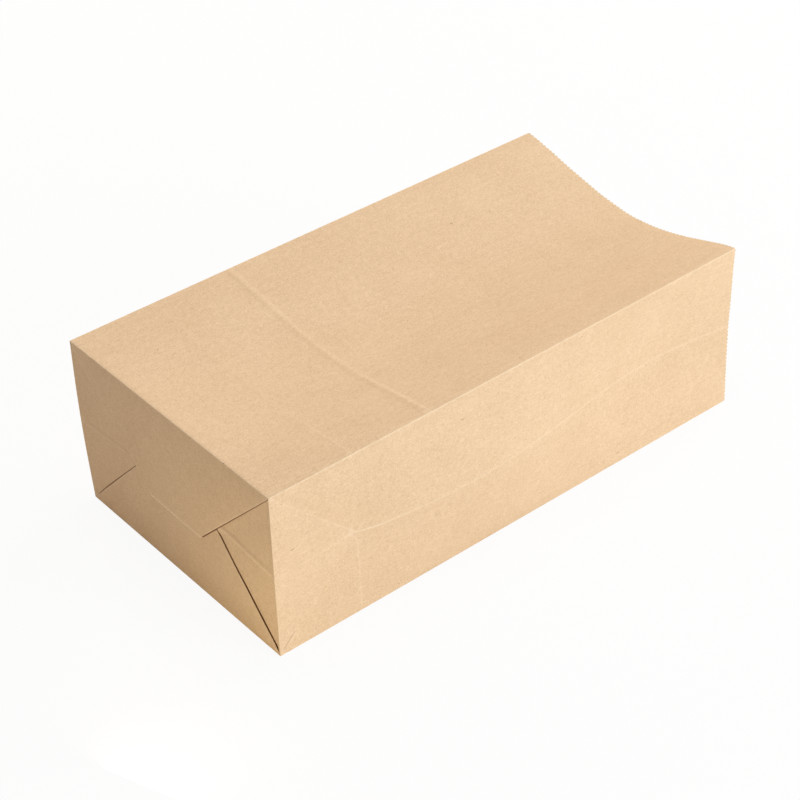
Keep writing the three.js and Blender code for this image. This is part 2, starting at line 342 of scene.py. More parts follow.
def line(distance, strength):
    """Closeness to a fold, so that the material's power gives back the line's own strength."""
    return max(0, 1 - abs(distance) / FOLD_REACH) * strength ** (1 / FOLD_POWER)


def back_panel(x, s):
    """The panel on the floor, from the near edge to the far one."""
    y = s - HALF_WIDTH
    return (y, back_height(x, y)), line(x - HALF_GUSSET, 0.9)


def upper_panel(x, s):
    """The upper panel, from the far edge to the near one. Its pale lines show at the near edge only."""
    y = HALF_WIDTH - s
    near = ease((40 - y) / 90)
    # Beside the ridge, on its side towards the mouth: a pale line of painted highlight, strongest at the
    # near edge.
    ridge_highlight = line(x - RIDGE_AT - 1, 0.02 + 0.5 * near**5)
    faint_line = line(x - HALF_GUSSET + 1, 0.02 + 0.45 * near**8)
    return (y, upper_height(x, y)), max(ridge_highlight, faint_line)


for name, y in (("near", -50), ("far", 50)):
    strength = upper_panel(RIDGE_AT + 1, HALF_WIDTH - y)[1] ** FOLD_POWER
    print(f"wear of the line across, {name} side: {strength:.2f}")

# %% [markdown]
# The side panels were folded the most, so they carry the most worn lines: the middle crease, the two
# 45 degree creases, and lines across the lower half that the folded bottom has left. The middle crease
# is palest by the tip of the triangle, where it was bent both ways.

# %% The side panels
MIDDLE_WEAR = 0.4  # middle crease, towards the mouth
MIDDLE_WEAR_MORE = 0.5  # what comes on top by the tip of the triangle
MIDDLE_WEAR_INSIDE = 0.2  # the same crease inside the triangle
UPPER_SLANT_WEAR = 0.28  # the two 45 degree creases
LOWER_SLANT_WEAR = 0.08
CROSS_WEAR = 0.3  # line across the lower half, level with the triangle's tip
SECOND_CROSS_WEAR = 0.08  # a fainter one, as far from the bottom as the gusset is deep


def side_panel(x, z, far):
    """A side panel, by the height above the floor."""
    edge = min(z, GUSSET - z)
    wear = MIDDLE_WEAR_INSIDE
    if x >= HALF_GUSSET:
        wear = MIDDLE_WEAR + MIDDLE_WEAR_MORE * ease((75 - x) / 30)
    fold = [line(z - HALF_GUSSET, wear)]
    if x <= HALF_GUSSET:
        slant_wear = UPPER_SLANT_WEAR if z > HALF_GUSSET else LOWER_SLANT_WEAR
        fold.append(line((x - edge) / math.sqrt(2), slant_wear))
    if z < HALF_GUSSET:
        fold.append(line(x - HALF_GUSSET, CROSS_WEAR))
        fold.append(line(x - GUSSET, SECOND_CROSS_WEAR))
    y = HALF_WIDTH - side_inset(x, z, far)
    return (y if far else -y, z), max(fold)


PANELS = [
    (wide_places, WIDTH, back_panel),
    (side_places, GUSSET, lambda x, s: side_panel(x, s, True)),
    (wide_places, WIDTH, upper_panel),
    (side_places, GUSSET, lambda x, s: side_panel(x, GUSSET - s, False)),
]
NEAR_SIDE_PANEL = 3
print("panels:", len(PANELS))

# %% [markdown]
# A ring goes along the back panel, up the far side, along the upper panel and down the near side.
# Between two panels the corner is a curve with its tip at the fold. The inset rings at the block bottom
# turn the sheet through a quarter circle, so the end has soft edges too.

# %% Rings
ARC = (0.25, 0.5, 0.75)
EDGE_WEAR = 0.3  # of the paper beside a long edge
ARC_WEAR = 0.9  # of the edge itself


def bend(a, tip, b, t):
    """A point on the curve from a to b that leaves and arrives towards tip."""
    return tuple((1 - t) ** 2 * p + 2 * t * (1 - t) * q + t * t * r for p, q, r in zip(a, tip, b))


def ring(x):
    """Points of one ring as (y, z), their closeness to a fold, and their place in the panel."""
    points, folds, labels = [], [], []
    for number, (places, width, panel) in enumerate(PANELS):
        for s in places:
            point, fold = panel(x, s)
            points.append(point)
            folds.append(max(fold, line(min(s, width - s), EDGE_WEAR)))
            labels.append((number, s))
        next_places, _, next_panel = PANELS[(number + 1) % len(PANELS)]
        before, tip, after = points[-1], panel(x, width)[0], next_panel(x, next_places[0])[0]
        for t in ARC:
            points.append(bend(before, tip, after, t))
            folds.append(line(0, ARC_WEAR))
            labels.append((number, None))
    return points, folds, labels


def inset(points, amount):
    """The same ring, drawn in by an amount square to the sheet."""
    moved = []
    for k, (y, z) in enumerate(points):
        before, after = points[k - 1], points[(k + 1) % len(points)]
        along = Vector((after[0] - before[0], after[1] - before[1])).normalized()
        moved.append((y - along.y * amount, z + along.x * amount))
    return moved


first, _, labels = ring(END_ROUND)
bend_rings = []
for a in (0, 22.5, 45, 67.5):
    angle = math.radians(a)
    x = END_ROUND * (1 - math.cos(angle))
    bend_rings.append((x, inset(first, END_ROUND * (1 - math.sin(angle)))))
print("points in a ring:", len(first))

# %% [markdown]
# ## From points to paper
#
# A single skin has no thickness, and a real sheet shows its cut edge at the mouth. The Solidify modifier
# gives the skin a second side, 0.12 mm further in. It is applied here, so that the edge can be kept
# crisp while the sheet around it stays smooth, and so that the inner side can have values of its own.
#
# Two more attributes go with each point. `crumple` is 1 where the paper was crushed in folding. `gap` is
# the distance from the hem that lies above, which the material turns into painted shade in the slits
# under the plies.

# %% Make a sheet
PAPER = 0.12  # thickness of the sheet
FAR_AWAY = 5.0  # a `gap` for paper that no hem lies over
CRISP = math.radians(40)  # edges sharper than this aren't smoothed
STRESSED = ((HALF_GUSSET, HALF_GUSSET, 9), (HALF_GUSSET, 12, 7), (HALF_GUSSET, 2, 9), (5, 6, 9))


def crumpled(x, y, z):
    """1 at the crushed places of the side panels, given as x, z and reach, and 0 away from them."""
    if abs(y) < HALF_WIDTH - 8:
        return 0.0
    return max(ease(1 - math.hypot(x - at_x, z - at_z) / reach) for at_x, at_z, reach in STRESSED)


def keep(mesh, name, values):
    """Store one value for each point of a mesh, for the material to read."""
    mesh.attributes.new(name, "FLOAT", "POINT").data.foreach_set("value", values)


def make_paper(name, points, faces, folds, gaps=None):
    """A sheet of paper from its points and faces, given to the CAD bag's body."""
    mesh = bpy.data.meshes.new(name)
    mesh.from_pydata([in_row(*p) for p in points], [], faces)
    mesh.validate()
    keep(mesh, "fold", folds)
    keep(mesh, "crumple", [crumpled(*p) for p in points])
    keep(mesh, "gap", gaps or [FAR_AWAY] * len(points))
    sheet = bpy.data.objects.new(name, mesh)
    bpy.context.scene.collection.objects.link(sheet)

    thickness = sheet.modifiers.new("thickness", "SOLIDIFY")
    thickness.thickness = PAPER * MM
    thickness.offset = -1
    bpy.context.view_layer.objects.active = sheet
    bpy.ops.object.modifier_apply(modifier=thickness.name)
    for inner in sheet.data.attributes["gap"].data[len(points):]:
        inner.value = FAR_AWAY
    sheet.data.shade_smooth()
    sheet.data.set_sharp_from_angle(angle=CRISP)

    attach(sheet, "root")
    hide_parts("paper_bag")
    print(f"{name}: {len(sheet.data.polygons)} faces")
    return sheet


def grid_faces(rows, columns, turned=False):
    """Faces between the points of a grid that is stored row by row."""
    faces = []
    for i in range(rows - 1):
        for k in range(columns - 1):
            a = i * columns + k
            face = (a, a + 1, a + columns + 1, a + columns)
            faces.append(face[::-1] if turned else face)
    return faces


# %% [markdown]
# ## The tube
#
# All rings together are the tube. A four-sided face can bend only along one of its diagonals, so on the
# side panels each is split along the 45 degree creases. Left whole, Blender would choose the diagonal,
# and the creases would come out as a row of steps.
#
# By the lower near corner the crease is pinched hard, and its shade is painted on as a short dark line.
# It goes into the same `gap` attribute as the painted shade in the slits under the hems.

# %% Points and faces of the tube
PINCH_FROM = 1.5
PINCH_TO = 8.5
PINCH_GAP = 0.4  # the `gap` along its middle
PINCH_SPREAD = 0.5  # how fast it widens to the side


def pinch_shade(x, number, s):
    """The `gap` that paints shade along the pinched crease. It runs at 45 degrees, where the height is
    equal to x.
    """
    if number != NEAR_SIDE_PANEL or s is None or not PINCH_FROM < x < PINCH_TO:
        return FAR_AWAY
    return PINCH_GAP + PINCH_SPREAD * abs(GUSSET - s - x)


def tube_points():
    """Points of all rings from the block bottom to the mouth, with their folds and gaps."""
    points, folds, gaps = [], [], []
    for x, loop in bend_rings:
        points += [(x, y, z) for y, z in loop]
        folds += [line(0, 0.5)] * len(loop)
        gaps += [FAR_AWAY] * len(loop)
    for x in rows_along:
        loop, loop_folds, _ = ring(x)
        at_end = line(x, 0.3)
        at_mouth = line(x - LENGTH, 0.25)
        points += [(x, y, z) for y, z in loop]
        folds += [max(f, at_end, at_mouth) for f in loop_folds]
        gaps += [pinch_shade(x, number, s) for number, s in labels]
    return points, folds, gaps


def tube_faces(rows):
    """Faces between the rings, split on the side panels along the 45 degree creases."""
    faces = []
    count = len(labels)
    for i in range(rows - 1):
        for k in range(count):
            a, b = i * count + k, i * count + (k + 1) % count
            c, d = b + count, a + count
            number, s = labels[k]
            if number % 2 == 0 or s is None:
                faces.append((a, b, c, d))
            elif s < HALF_GUSSET - 0.01:
                faces += [(a, b, c), (a, c, d)]
            else:
                faces += [(a, b, d), (b, c, d)]
    return faces


print("faces between two rings:", len(tube_faces(2)))

# %% [markdown]
# The knife that cuts the mouth has teeth. Each tooth of the paper is a tip beyond the last ring, with
# faces back to the points beside it. Places that are closer together than a tooth share one tip. Cutting
# the teeth with a Boolean would be the other way, but it would break up the ordered faces of the tube.

# %% Saw teeth
MOUTH_WEAR = 0.35


def mouth_teeth(last):
    """Tips and faces of the teeth. `last` is the number of the last ring's first point."""
    tips, faces = [], []
    count = len(labels)
    start = 0
    while start < count:
        number, s = labels[start]
        if s is None:
            start += 1
            continue
        end = start + 1
        while labels[end % count][1] is not None and labels[end % count][1] - s < PITCH - CLEAR:
            end += 1
        if labels[end % count][1] is None:
            start = end
            continue
        middle = (s + labels[end][1]) / 2
        (y, z), _ = PANELS[number][2](LENGTH, middle)
        tip = last + count + len(tips)
        tips.append((LENGTH, y, z))
        faces += [(last + k, last + k + 1, tip) for k in range(start, end)]
        start = end
    return tips, faces


def make_tube():
    """The tube from the bend at the block bottom to the teeth at the mouth."""
    points, folds, gaps = tube_points()
    rows = len(bend_rings) + len(rows_along)
    tips, tip_faces = mouth_teeth((rows - 1) * len(labels))
    print("teeth at the mouth:", len(tips))
    folds += [line(0, MOUTH_WEAR)] * len(tips)
    gaps += [FAR_AWAY] * len(tips)
    return make_paper("paper_tube", points + tips, tube_faces(rows) + tip_faces, folds, gaps)


tube = make_tube()

# %% [markdown]
# ## The block bottom
#
# Four flaps close the end. The two side flaps go in first. Then comes the long flap from the back panel,
# and last the one from the upper panel, which shows most. A long flap can't lie flat at its ends: the
# paper there turns under along a 45 degree line, and a triangle of it stays tucked between the plies.
# That hem is why the edge looks thick, and why a dark line shows beside it: real shadow, deepened with
# painted shade.

# %% Outlines of the long flaps
FLAP_DEPTH = 51
HEM_SLANT = 0.72  # turns a distance across the bag into one square to a hem
BOW_RUN = 40  # depth over which a hem is bowed
LOWER = {
    "upwards": True,
    "stand": -0.25,  # how far the flap stands out from the block bottom
    "near_slope": 0.905,
    "near_bow": 0.75,
    "far_slope": 0.96,
    "far_depth": 51,
}
OUTER = {
    "upwards": False,
    "stand": 0.25,
    "near_slope": 0.936,
    "near_bow": 0,
    "far_slope": 0.963,
    "far_depth": 48.8,
}


def hems(flap, depth):
    """Where the two hems of a long flap are, across the bag, at a depth from its fold."""
    bow = flap["near_bow"] * math.sin(math.pi * min(1, max(0, depth) / BOW_RUN))
    near_y = -HALF_WIDTH + flap["near_slope"] * depth + bow
    far_y = HALF_WIDTH - flap["far_slope"] * depth * flap["far_depth"] / FLAP_DEPTH
    return near_y, far_y


def shortened(flap, y):
    """How much shorter the flap is at a place across the bag, as a share of its depth."""
    across = min(1, max(0, (y + HALF_WIDTH) / WIDTH))
    return 1 + (flap["far_depth"] / FLAP_DEPTH - 1) * across


def outside(flap, y, z, cut_edge=0):
    """How far a place lies beside a long flap. It is negative under the flap."""
    depth = (z if flap["upwards"] else GUSSET - z) / shortened(flap, y)
    near_y, far_y = hems(flap, depth)
    return max(HEM_SLANT * (near_y - y), HEM_SLANT * (y - far_y), depth - FLAP_DEPTH + cut_edge)


print("hems of the outer flap at its cut edge:", [round(v, 1) for v in hems(OUTER, FLAP_DEPTH)])

# %% [markdown]
# The side flaps are sheets that lie a little further in. Each has the end of the middle crease in it,
# which rises a little on its way in. The slit under a hem is too narrow for light to reach. So each point
# gets its distance from the hem above it as its `gap`, and the material paints shade on the paper where
# that is small. Real shadow alone would leave the slits too pale.

# %% The way a side flap lies
HELD = 0.4  # how far the near flap lies back where the outer flap's hem presses on it
BEHIND_TUCKS = 1.25  # both lie further back under the long flaps, behind their tucks
NEAR_SIDE = {
    "side": -1,
    "bulge": 0,
    "spring": 0.95,  # how far the flap lies back behind the long ones
    "rise": 4.2,  # how much its crease rises in 40 mm
    "crease_half": 1.9,
    "crease_height": 0.6,
    "crease_wear": 0.7,
    # `tip_at` and `lower_slit_shade` set how wide the painted shade in the slits is.
    "tip_at": 40,  # how far from the edge its slits are narrowest
    "lower_slit_shade": 0.08,  # added to the gap under the lower flap's hem, at the edge
    "lower_change": 0,  # what is taken off again towards the tip
}
FAR_SIDE = {
    "side": 1,
    "bulge": FAR_BULGE,
    "spring": 0.6,
    "rise": 2.4,
    "crease_half": 1.3,
    "crease_height": 0.4,
    "crease_wear": 0.3,
    "tip_at": 25,
    "lower_slit_shade": 0.55,
    "lower_change": 0.45,
}


def lies_back(flap, reach, beside_outer, beside_lower):
    """How far a side flap lies behind the long ones. It is further under them, behind their tucks."""
    if flap is FAR_SIDE:
        back = flap["spring"] * (0.4 + 0.6 * ease(reach / 25))
    else:
        back = HELD + (flap["spring"] - HELD) * ease(beside_outer / 3)
    return back + (BEHIND_TUCKS - back) * ease(-min(beside_outer, beside_lower) / 4)


def slit_shade_gap(flap, reach, beside_outer, beside_lower):
    """Distance from the hem above, which sets the painted shade in the slits. Both get narrower towards
    the tip of the flap.
    """
    to_tip = min(1, reach / flap["tip_at"])
    under_outer = beside_outer + 0.15 - 0.12 * to_tip
    under_lower = beside_lower + (flap["lower_slit_shade"] - flap["lower_change"] * to_tip)
    return min(under_outer, under_lower)


in_open = lies_back(NEAR_SIDE, 20, 9, 9)
under_flap = lies_back(NEAR_SIDE, 20, -9, 9)
print(f"near side flap: {in_open:.2f} mm back in the open, {under_flap:.2f} mm under a long flap")

# %% [markdown]
# A side flap is a grid of points, in rows from its fold inwards. Steps beside the edges are fine, as the
# sheet comes round a tight bend there, and then leans back behind the long flaps.

# %% The two side flaps
FINE_STEPS = [0.9, 1.4, 2, 3, 4, 5, 6]  # places beside an edge, where the sheet bends most
FLAP_WAVE_HEIGHT = 0.25
FLAP_WAVE_SIZE = 16


def make_side_flap(name, flap):
    """A side flap, from its fold inwards."""
    side = flap["side"]
    reaches = [END_ROUND] + FINE_STEPS + [7, 8] + list(range(10, 50, 2)) + [FLAP_DEPTH]
    ups = [END_ROUND] + FINE_STEPS + [8] + list(range(10, 36, 2))
    ups += [HALF_GUSSET + d * 0.8 for d in range(-6, 9)]
    ups += list(range(48, 74, 2)) + [GUSSET - u for u in reversed([END_ROUND] + FINE_STEPS)]
    points, folds, gaps = [], [], []
    for reach in reaches:
        rise = HALF_GUSSET + flap["rise"] * reach / 40
        for z in ups:
            inner = min(reach, z, GUSSET - z) - END_ROUND
            crease = bump_line(z - rise, flap["crease_half"]) * ease(inner / 4)
            soft = FLAP_WAVE_HEIGHT * waves(reach, z, 9 * side, FLAP_WAVE_SIZE, 1.3) * ease(inner / 8)
            flat_y = side * (HALF_WIDTH - reach)
            beside = outside(OUTER, flat_y, z), outside(LOWER, flat_y, z)
            back = lies_back(flap, reach, *beside)
            x = back * ease(inner / 2.5) - flap["crease_height"] * crease + soft
            bow = flap["bulge"] * math.sin(math.pi * z / GUSSET)
            y = side * (HALF_WIDTH + bow * ease(1 - reach / 30) - reach)
            points.append((x, y, z))
            folds.append(max(line(z - rise, flap["crease_wear"]), line(reach, 0.3)))
            gaps.append(slit_shade_gap(flap, reach, *beside))
    faces = grid_faces(len(reaches), len(ups), turned=side > 0)
    return make_paper(name, points, faces, folds, gaps)


near_flap = make_side_flap("side_flap_near", NEAR_SIDE)
far_flap = make_side_flap("side_flap_far", FAR_SIDE)

# %% [markdown]
# Each row of a long flap is one line of points: from the cut end of the tuck, out to the hem, round it,
# across the flap, round the other hem and in again. Stacked rows make the flap and both of its tucks in
# one piece, as they are in the real sheet.

# %% One row of a long flap
HEM = 0.22  # radius of the turned hem
HEM_ANGLES = [math.radians(a) for a in range(180, -1, -30)]
TUCK_CLEAR = 0.05  # air between the flap and its tuck
ACROSS = 64


def flap_row(flap, depth):
    """Points of a row as (x, y), from the near tuck to the far one."""
    deep = ease((depth - END_ROUND) / 5)
    hem = HEM * (0.6 + 0.4 * deep)
    face = -flap["stand"] * deep
    behind = face + 2 * hem + TUCK_CLEAR
    near_y, far_y = hems(flap, depth)
    near_cut, far_cut = hems(flap, FLAP_DEPTH)
    row = [(behind, max(near_y + 2 * hem, near_cut))]
    for a in HEM_ANGLES:
        row.append((face + hem - hem * math.cos(a), near_y + hem - hem * math.sin(a)))
    for k in range(1, ACROSS):
        row.append((face, near_y + hem + (far_y - near_y - 2 * hem) * k / ACROSS))
    for a in reversed(HEM_ANGLES):
        row.append((face + hem - hem * math.cos(a), far_y - hem + hem * math.sin(a)))
    row.append((behind, min(far_y - 2 * hem, far_cut)))
    return row


print("points in a row:", len(flap_row(OUTER, FLAP_DEPTH)))

# %% [markdown]
# The rows are stacked from the fold to the cut edge. The last row gets the teeth of the knife, and the
# palest line: partly the paler cut fibres, partly a painted highlight where they catch the light. The
# outer flap's own hem lies over the lower flap, so the lower one gets a `gap` too, for painted shade
# under that hem.

# %% The two long flaps
LONG_WAVE_HEIGHT = 0.14
LONG_WAVE_SIZE = 18
FLAP_TOOTH = 0.5  # height of the saw teeth along a flap's cut edge
HEM_WEAR = 0.7
CUT_WEAR_AND_HIGHLIGHT = 2.0  # of the cut edge


def on_bag(flap, depth, x, y):
    """A point of a row as a place on the bag."""
    down = depth * shortened(flap, y)
    soft = LONG_WAVE_HEIGHT * waves(y, depth, flap["stand"] * 30, LONG_WAVE_SIZE, 5.2)
    soft = soft * ease((depth - END_ROUND) / 8)
    return (x + soft, y, down if flap["upwards"] else GUSSET - down)


def make_long_flap(name, flap):
    """A long flap with its hems and tucks, from its fold to its cut edge."""
    upwards = flap["upwards"]
    depths = [END_ROUND] + FINE_STEPS + [7, 8] + list(range(10, 51, 2)) + [FLAP_DEPTH]
    points, folds, gaps = [], [], []
    for depth in depths:
        near_y, far_y = hems(flap, depth)
        row = flap_row(flap, depth)
        for k, (x, y) in enumerate(row):
            point = on_bag(flap, depth, x, y)
            if depth == FLAP_DEPTH:
                tooth = FLAP_TOOTH * (1 - abs((k - len(HEM_ANGLES)) % 4 - 2) / 2)
                point = (point[0], point[1], point[2] + (tooth if upwards else -tooth))
            points.append(point)
            gaps.append(outside(OUTER, y, point[2], 0.8) - 0.06 if upwards else FAR_AWAY)
            hemmed = min(abs(y - near_y), abs(far_y - y))
            # A pale cut edge: partly paler cut fibres, partly painted highlight.
            cut_wear_and_highlight = line(depth - FLAP_DEPTH, CUT_WEAR_AND_HIGHLIGHT)
            folds.append(max(line(hemmed, HEM_WEAR), line(depth, 0.3), cut_wear_and_highlight))
    faces = grid_faces(len(depths), len(row), turned=upwards)
    return make_paper(name, points, faces, folds, gaps)


lower_flap = make_long_flap("lower_flap", LOWER)
outer_flap = make_long_flap("outer_flap", OUTER)

# %% [markdown]
# ## The glued seam
#
# The sheet's two edges are lapped and glued along the back panel. From outside only the step of the lap
# shows, and through the mouth one sees the strip that lies inside. A strip of its own, laid just above
# the back panel, is enough for that: the plies of the real lap can't be told apart.

# %% The glued lap
LAP_MIDDLE = 22
LAP_WIDTH = 16
LAP_STEPS = 8
GLUE = 0.01  # thickness of the film of glue


def make_lap():
    """The strip of the lap that lies inside the bag."""
    points = []
    for x in rows_along:
        for k in range(LAP_STEPS + 1):
            y = LAP_MIDDLE + LAP_WIDTH * (k / LAP_STEPS - 0.5)
            points.append((x, y, back_height(x, y) + 2 * PAPER + GLUE))
    faces = grid_faces(len(rows_along), LAP_STEPS + 1, turned=True)
    return make_paper("glued_lap", points, faces, [0.0] * len(points))


lap = make_lap()
bag_pieces = [tube, near_flap, far_flap, lower_flap, outer_flap, lap]

# %% [markdown]
# ## Kraft paper
#
# Kraft is unbleached pulp. Close up it is never one colour: the pulp lies in small clouds, single fibres
# run through it, and a few dark flecks of bark stay in. An image texture would show all this, but it
# would need a picture. Noise textures of several sizes do the same and look right from any side, because
# they fill space and need no unwrapping.

# %% Helpers for the material's nodes
kraft = bpy.data.materials.new("kraft_paper")
kraft.use_nodes = True
tree = kraft.node_tree
shader = tree.nodes["Principled BSDF"]
coordinates = tree.nodes.new("ShaderNodeTexCoord")


def add(kind, inputs=(), **settings):
    """A new node with its settings, and its input sockets filled or linked by name or number."""
    made = tree.nodes.new(kind)
    for key, value in settings.items():
        setattr(made, key, value)
    for key, value in dict(inputs).items():
        if isinstance(value, bpy.types.NodeSocket):
            tree.links.new(value, made.inputs[key])
        else:
            made.inputs[key].default_value = value
    return made


def reckon(operation, *values, clamp=False):
    """One step of arithmetic with values or sockets."""
    node = add("ShaderNodeMath", enumerate(values), operation=operation, use_clamp=clamp)
    return node.outputs[0]


def ramp(value, start, end, at_start, at_end):
    """A value that runs evenly between two others while the given one goes from start to end."""
    return add("ShaderNodeMapRange", {0: value, 1: start, 2: end, 3: at_start, 4: at_end}).outputs[0]


def mix(factor, under, over):
    """One colour laid over another, as far as the factor says."""
    return add("ShaderNodeMix", {"Factor": factor, 6: under, 7: over}, data_type="RGBA").outputs[2]


print("new material:", kraft.name)

# %% [markdown]
# The base is a mix of a darker and a paler brown. Each noise pushes the mix one way or the other: clouds
# of 22 mm, a mottle of 2 mm, long streaks in the direction the sheet was made, a grain of half a
# millimetre, and two sets of fibres that lie across each other. The grain has the most weight, because
# close up it is what the eye takes for paper.

# %% Pulp and fibres
PULP_DARK = (0.675, 0.471, 0.279, 1)
PULP_PALE = (0.857, 0.646, 0.431, 1)


def pulp_noise(size, detail, turn=(0, 0, 0), stretch=(1, 1, 1), roughness=0.5):
    """Noise with lumps of a size in millimetres, perhaps turned and drawn out into fibres."""
    scale = tuple(1 / (size * MM * s) for s in stretch)
    mapping = add(
        "ShaderNodeMapping",
        {"Vector": coordinates.outputs["Object"], "Rotation": turn, "Scale": scale},
    )
    texture = add(
        "ShaderNodeTexNoise",
        {"Vector": mapping.outputs[0], "Scale": 1.0, "Detail": detail, "Roughness": roughness},
    )
    return texture.outputs["Fac"]


def weigh(parts):
    """A half, plus the sum of (noise - 0.5) times a weight for each part."""
    total = 0.5
    for value, weight in parts:
        centred = reckon("SUBTRACT", value, 0.5)
        total = reckon("MULTIPLY_ADD", centred, weight, total)
    return total


clouds = pulp_noise(22, 2)
mottle = pulp_noise(2.4, 3, roughness=0.7)
grain = pulp_noise(0.55, 3, roughness=0.75)
fibres_along = pulp_noise(0.5, 1, (0.2, 0.1, 0.15), (4, 1, 1))
fibres_aslant = pulp_noise(0.5, 1, (0.5, 0.9, 0.8), (4, 1, 1))
streaks = pulp_noise(1.6, 2, stretch=(9, 1, 1))
coarse = [(clouds, 0.35), (streaks, 0.3), (mottle, 0.7)]
fine = [(grain, 2.6), (fibres_along, 0.35), (fibres_aslant, 0.35)]
pulp = mix(weigh(coarse + fine), PULP_DARK, PULP_PALE)
print("pulp:", len(coarse + fine), "layers of noise")

# %% [markdown]
# A worn fold is pale, and its line is broken, because the fibres give way here and hold there. The
# `fold` attribute says how near the fold is. Raised to a power it makes a thin line, and a noise breaks
# that line up. The same pale colour also paints two highlights that `fold` carries: beside the ridge
# across the upper panel, and along the cut edge of the long flaps.

# %% Worn folds and painted highlights
WORN_AND_HIGHLIT_PAPER = (0.93, 0.76, 0.56, 1)

fold = add("ShaderNodeAttribute", attribute_name="fold")
thin = reckon("POWER", fold.outputs["Fac"], FOLD_POWER)
broken = pulp_noise(1.6, 2)
patchy = reckon("MULTIPLY_ADD", broken, 1.6, 0.1, clamp=True)
# Pale worn folds, together with the painted highlights that `fold` also carries.
worn_and_highlit = reckon("MULTIPLY", thin, patchy, clamp=True)
lighter = mix(worn_and_highlit, pulp, WORN_AND_HIGHLIT_PAPER)
worn_points = sum(v.value > 0 for v in tube.data.attributes["fold"].data)
print("points of the tube on or beside a fold:", worn_points)

# %% [markdown]
# Where three creases meet, the paper was crushed and shows a net of small hard wrinkles. The edges
# between the cells of a Voronoi texture are such a net. The `crumple` attribute keeps it to those places,
# and stretching the texture makes the cells longer one way, as wrinkles are.

# %% Small wrinkles
SHARD_SCALE = (190, 100, 230)  # cells in a metre, along each axis
WRINKLE_WIDTH = 0.09  # as a share of a cell
WRINKLE_PALE = 0.45

crumple = add("ShaderNodeAttribute", attribute_name="crumple")
shards = add("ShaderNodeMapping", {"Vector": coordinates.outputs["Object"], "Scale": SHARD_SCALE})
cracks = add(
    "ShaderNodeTexVoronoi",
    {"Vector": shards.outputs[0], "Scale": 1.0},
    feature="DISTANCE_TO_EDGE",
)
crack = ramp(cracks.outputs["Distance"], WRINKLE_WIDTH, 0.0, 0.0, 1.0)
wrinkle = reckon("MULTIPLY", crack, crumple.outputs["Fac"])
pale_wrinkle = reckon("MULTIPLY", wrinkle, WRINKLE_PALE)
wrinkled = mix(pale_wrinkle, lighter, WORN_AND_HIGHLIT_PAPER)
crushed_points = sum(v.value > 0 for v in tube.data.attributes["crumple"].data)
print("crushed points of the tube:", crushed_points)

# %% [markdown]
# Bark that passed through the pulp mill stays in the paper as dark flecks: some round, some drawn out
# into slivers, and many so small that they are mere specks. Modelled one by one they would be hundreds
# of pieces. A Voronoi texture puts one spot into each cell of space instead, and the cell's random
# colour decides whether its spot is used.

# %% Flecks
BARK_BROWN = (0.24, 0.12, 0.05, 1)
FLECK_STRENGTH = 0.5
SPECK_STRENGTH = 0.5  # of a speck beside that of a fleck


def flecks(size, turn, radius, share):
    """1 in a few small spots. `size` is the cell that holds one, in millimetres along each axis."""
    scale = tuple(1 / (side * MM) for side in size)
    cells = add(
        "ShaderNodeMapping",
        {"Vector": coordinates.outputs["Object"], "Rotation": turn, "Scale": scale},
    )
    spots = add("ShaderNodeTexVoronoi", {"Vector": cells.outputs[0], "Scale": 1.0})
    inside = ramp(spots.outputs["Distance"], radius, radius / 2, 0.0, 1.0)
    chance = add("ShaderNodeSeparateColor", {0: spots.outputs["Color"]})
    chosen = reckon("GREATER_THAN", chance.outputs[0], 1 - share)
    print(f"flecks in cells of {size} mm, {share:.0%} of them used")
    return reckon("MULTIPLY", inside, chosen)


bark = flecks((10, 7, 8), (0, 0, 0.4), 0.045, 0.4)
slivers = flecks((30, 7, 7), (0.3, 0.2, 0.7), 0.045, 0.3)
specks = flecks((5, 4, 4), (0.2, 0.5, 0.1), 0.06, 0.25)
either = reckon("MAXIMUM", bark, slivers)
either = reckon("MULTIPLY_ADD", specks, SPECK_STRENGTH, either, clamp=True)
half_fleck = reckon("MULTIPLY", either, FLECK_STRENGTH)
flecked = mix(half_fleck, wrinkled, BARK_BROWN)

# %% [markdown]
# The slits under the hems get painted shade: a dark red-brown, because the little light in there has
# come through the sheet. The `gap` attribute drives this last colour, which also paints the short dark
# line of the pinched crease. It fades out over less than half a millimetre, so a slit keeps a clean rim.

# %% Painted shade in the slits under the hems
PAINTED_SLIT_SHADE = (0.16, 0.032, 0.006, 1)
SLIT_SHADE_FULL_TO = 0.2  # full colour up to this distance from the hem
SLIT_SHADE_ENDS_AT = 0.6
SLIT_SHADE_STRENGTH = 0.95

gap = add("ShaderNodeAttribute", attribute_name="gap")
# Painted shade in the slits under the hems and along the pinched crease.
painted_slit_shade = ramp(gap.outputs["Fac"], SLIT_SHADE_FULL_TO, SLIT_SHADE_ENDS_AT, SLIT_SHADE_STRENGTH, 0.0)
with_painted_slit_shade = mix(painted_slit_shade, flecked, PAINTED_SLIT_SHADE)
tree.links.new(with_painted_slit_shade, shader.inputs["Base Color"])
for piece in (near_flap, far_flap, lower_flap):
    dark_points = sum(v.value < SLIT_SHADE_ENDS_AT for v in piece.data.attributes["gap"].data)
    print(f"{piece.name}: {dark_points} points in or under a slit")

# %% [markdown]
# Kraft is matt, but not dead flat to the light: its fibres stand up by a hair and its wrinkles by more.
# They are far too fine for the mesh, so a bump carries them. It is built from the same noises as the
# colour, so that a dark grain is also a hollow.

